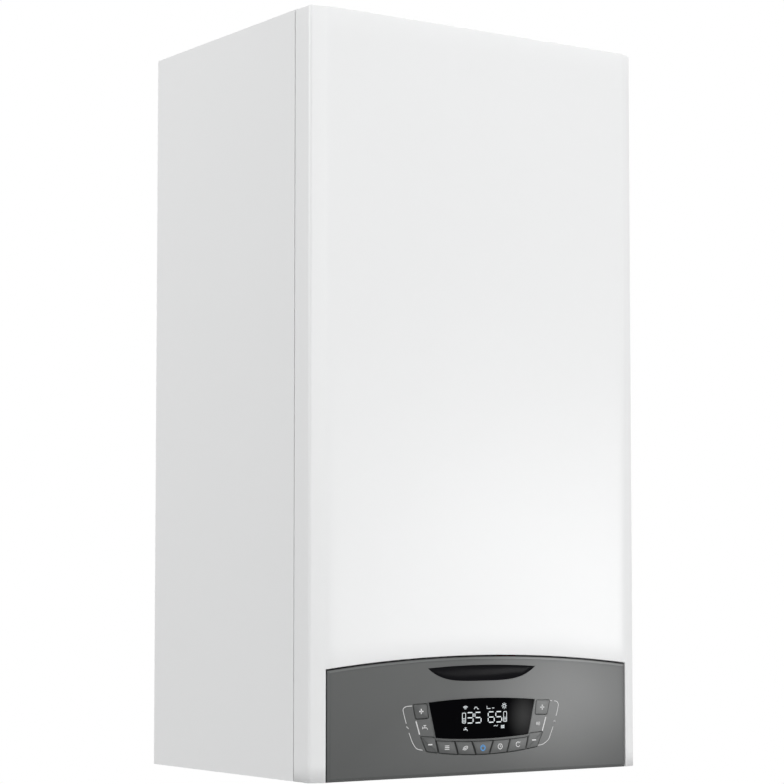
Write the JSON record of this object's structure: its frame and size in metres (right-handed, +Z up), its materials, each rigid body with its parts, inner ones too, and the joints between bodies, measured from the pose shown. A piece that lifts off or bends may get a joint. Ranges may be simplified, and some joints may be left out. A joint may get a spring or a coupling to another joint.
{
  "type": "condensing boiler",
  "caption": "Wall-hung condensing boiler in a white sheet casing with a grey key and display panel; cover off, it shows burner, fan, pump and pipes.",
  "frame": {"origin": "middle of the rear panel's back face, on the wall plane, half-way up the casing", "axes": "+Z up, +X to the boiler's right as its user sees it, +Y into the wall; the front faces -Y"},
  "size_m": [0.4, 0.3156, 0.7633],
  "materials": {
    "white_enamel": "white enamel on pressed sheet, satin",
    "zinc_sheet": "zinc-plated sheet",
    "stainless": "stainless steel",
    "copper": "drawn copper tube",
    "brass": "turned brass",
    "cast_aluminium": "as-cast aluminium",
    "grey_fascia": "grey satin moulding",
    "black_plastic": "black moulding",
    "dark_glass": "polished dark acrylic",
    "red_lacquer": "red lacquer on steel",
    "red_plastic": "red moulding",
    "blue_plastic": "blue moulding",
    "rubber": "black rubber",
    "ceramic": "cream glazed ceramic",
    "circuit_green": "green circuit laminate"
  },
  "bodies": {
    "boiler_body": {"air_intake_cover": "black_plastic", "air_silencer": "black_plastic", "air_vent": "brass", "burner_door": "cast_aluminium", "burner_tube": "stainless", "cable_gland": "black_plastic", "cold_water_end": "brass", "condensate_hose": "rubber", "connection_plate": "zinc_sheet", "diverter_motor": "black_plastic", "door_seal": "rubber", "electrode": "ceramic", "exchanger_coil": "stainless", "exchanger_drum": "stainless", "exchanger_support_plate": "zinc_sheet", "expansion_pipe": "copper", "expansion_vessel": "red_lacquer", "fan_housing": "cast_aluminium", "fan_motor": "black_plastic", "flow_manifold": "black_plastic", "flow_pipe": "copper", "flue_collar": "black_plastic", "flue_duct": "black_plastic", "gas_connection": "brass", "gas_pipe": "copper", "gas_valve": "cast_aluminium", "heating_flow_end": "brass", "heating_return_end": "brass", "hot_water_end": "brass", "left_side_panel": "white_enamel", "mixer_duct": "cast_aluminium", "plate_heat_exchanger": "stainless", "pump_motor": "cast_aluminium", "rear_panel": "zinc_sheet", "return_manifold": "black_plastic", "return_pipe": "copper", "right_side_panel": "white_enamel", "siphon": "black_plastic", "top_panel": "zinc_sheet", "venturi_mixer": "cast_aluminium"},
    "front_cover": {"front_cover": "white_enamel"},
    "control_box": {"control_box": "black_plastic", "control_fascia": "grey_fascia", "display_window": "dark_glass", "badge_insert": "dark_glass", "circuit_board": "circuit_green"},
    "fan_impeller": {"fan_impeller": "cast_aluminium"},
    "pump_impeller": {"pump_impeller": "black_plastic"},
    "safety_knob": {"safety_knob": "red_plastic"},
    "filling_knob": {"filling_knob": "blue_plastic"},
    "left_plus_key": {"left_plus_key": "grey_fascia"},
    "right_plus_key": {"right_plus_key": "grey_fascia"},
    "left_minus_key": {"left_minus_key": "grey_fascia"},
    "right_minus_key": {"right_minus_key": "grey_fascia"},
    "menu_key": {"menu_key": "grey_fascia"},
    "eco_key": {"eco_key": "grey_fascia"},
    "power_key": {"power_key": "grey_fascia"},
    "timer_key": {"timer_key": "grey_fascia"},
    "reset_key": {"reset_key": "grey_fascia"}
  },
  "joints": [
    {"name": "cover_slide", "type": "slide", "parent": "boiler_body", "child": "front_cover", "axis": [0, -1, 0], "range_m": [0, 0.36]},
    {"name": "control_box_hinge", "type": "hinge", "parent": "boiler_body", "child": "control_box", "pos_m": [0, -0.294, -0.3625], "axis": [1, 0, 0], "range_deg": [0, 80]},
    {"name": "fan_spin", "type": "hinge", "parent": "boiler_body", "child": "fan_impeller", "pos_m": [0.13, -0.17, 0.1805], "axis": [0, 0, 1], "continuous": true},
    {"name": "pump_spin", "type": "hinge", "parent": "boiler_body", "child": "pump_impeller", "pos_m": [0.12, -0.1, -0.1825], "axis": [0, 1, 0], "continuous": true},
    {"name": "safety_knob_turn", "type": "hinge", "parent": "boiler_body", "child": "safety_knob", "pos_m": [0.15, -0.155, -0.2775], "axis": [0, -1, 0], "range_deg": [0, 90]},
    {"name": "filling_knob_turn", "type": "hinge", "parent": "boiler_body", "child": "filling_knob", "pos_m": [0.1, -0.105, -0.3475], "axis": [0, 0, 1], "range_deg": [0, 360]},
    {"name": "left_plus_press", "type": "slide", "parent": "control_box", "child": "left_plus_key", "axis": [0, 1, 0], "range_m": [0, 0.0012], "stiffness_N_per_m": 800},
    {"name": "right_plus_press", "type": "slide", "parent": "control_box", "child": "right_plus_key", "axis": [0, 1, 0], "range_m": [0, 0.0012], "stiffness_N_per_m": 800},
    {"name": "left_minus_press", "type": "slide", "parent": "control_box", "child": "left_minus_key", "axis": [0, 1, 0], "range_m": [0, 0.0012], "stiffness_N_per_m": 800},
    {"name": "right_minus_press", "type": "slide", "parent": "control_box", "child": "right_minus_key", "axis": [0, 1, 0], "range_m": [0, 0.0012], "stiffness_N_per_m": 800},
    {"name": "menu_press", "type": "slide", "parent": "control_box", "child": "menu_key", "axis": [0, 1, 0], "range_m": [0, 0.0012], "stiffness_N_per_m": 800},
    {"name": "eco_press", "type": "slide", "parent": "control_box", "child": "eco_key", "axis": [0, 1, 0], "range_m": [0, 0.0012], "stiffness_N_per_m": 800},
    {"name": "power_press", "type": "slide", "parent": "control_box", "child": "power_key", "axis": [0, 1, 0], "range_m": [0, 0.0012], "stiffness_N_per_m": 800},
    {"name": "timer_press", "type": "slide", "parent": "control_box", "child": "timer_key", "axis": [0, 1, 0], "range_m": [0, 0.0012], "stiffness_N_per_m": 800},
    {"name": "reset_press", "type": "slide", "parent": "control_box", "child": "reset_key", "axis": [0, 1, 0], "range_m": [0, 0.0012], "stiffness_N_per_m": 800}
  ]
}
